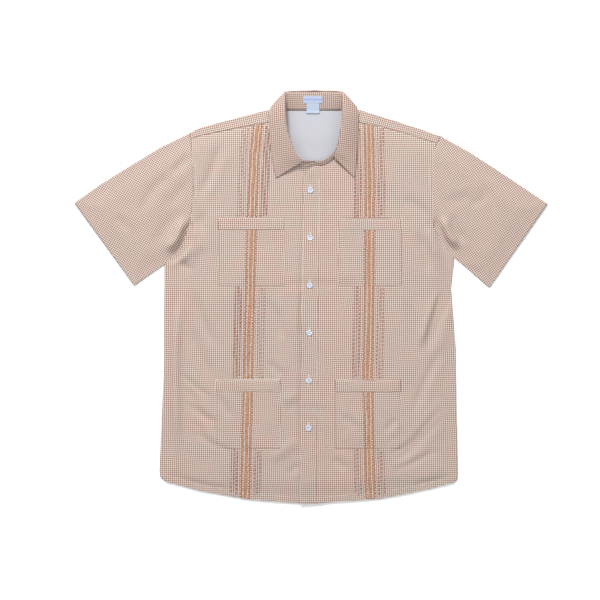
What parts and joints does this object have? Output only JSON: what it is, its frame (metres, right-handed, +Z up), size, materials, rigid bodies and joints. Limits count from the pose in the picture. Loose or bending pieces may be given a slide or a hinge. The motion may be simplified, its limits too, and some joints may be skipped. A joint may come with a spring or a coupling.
{
  "type": "guayabera shirt",
  "caption": "Short-sleeved guayabera shirt in fine check cotton, buttoned and laid flat on its back, with patch pockets, tucks, embroidered bands and an open collar.",
  "frame": {"origin": "on the surface the shirt lies on, in the middle of its outline", "axes": "+X to the wearer's left, +Y towards the collar, +Z up off the surface"},
  "size_m": [0.927, 0.8101, 0.0221],
  "materials": {
    "check_cloth": "matt fine check poplin with orange embroidery, white on its wrong side",
    "pearl_button": "pearly, smooth",
    "label_ribbon": "satin woven ribbon, plain"
  },
  "bodies": {
    "root": {"back_panel": "check_cloth", "back_yoke": "check_cloth", "front_right": "check_cloth", "front_left": "check_cloth", "placket": "check_cloth", "sleeve_right": "check_cloth", "sleeve_left": "check_cloth", "collar_stand": "check_cloth", "collar_leaf": "check_cloth", "pocket_chest_right": "check_cloth", "pocket_lower_right": "check_cloth", "pocket_chest_left": "check_cloth", "pocket_lower_left": "check_cloth", "pocket_band_chest_right": "check_cloth", "pocket_band_lower_right": "check_cloth", "pocket_band_chest_left": "check_cloth", "pocket_band_lower_left": "check_cloth", "button_1": "pearl_button", "button_2": "pearl_button", "button_3": "pearl_button", "button_4": "pearl_button", "button_5": "pearl_button", "button_6": "pearl_button", "neck_label": "label_ribbon", "size_label": "label_ribbon"}
  },
  "joints": []
}
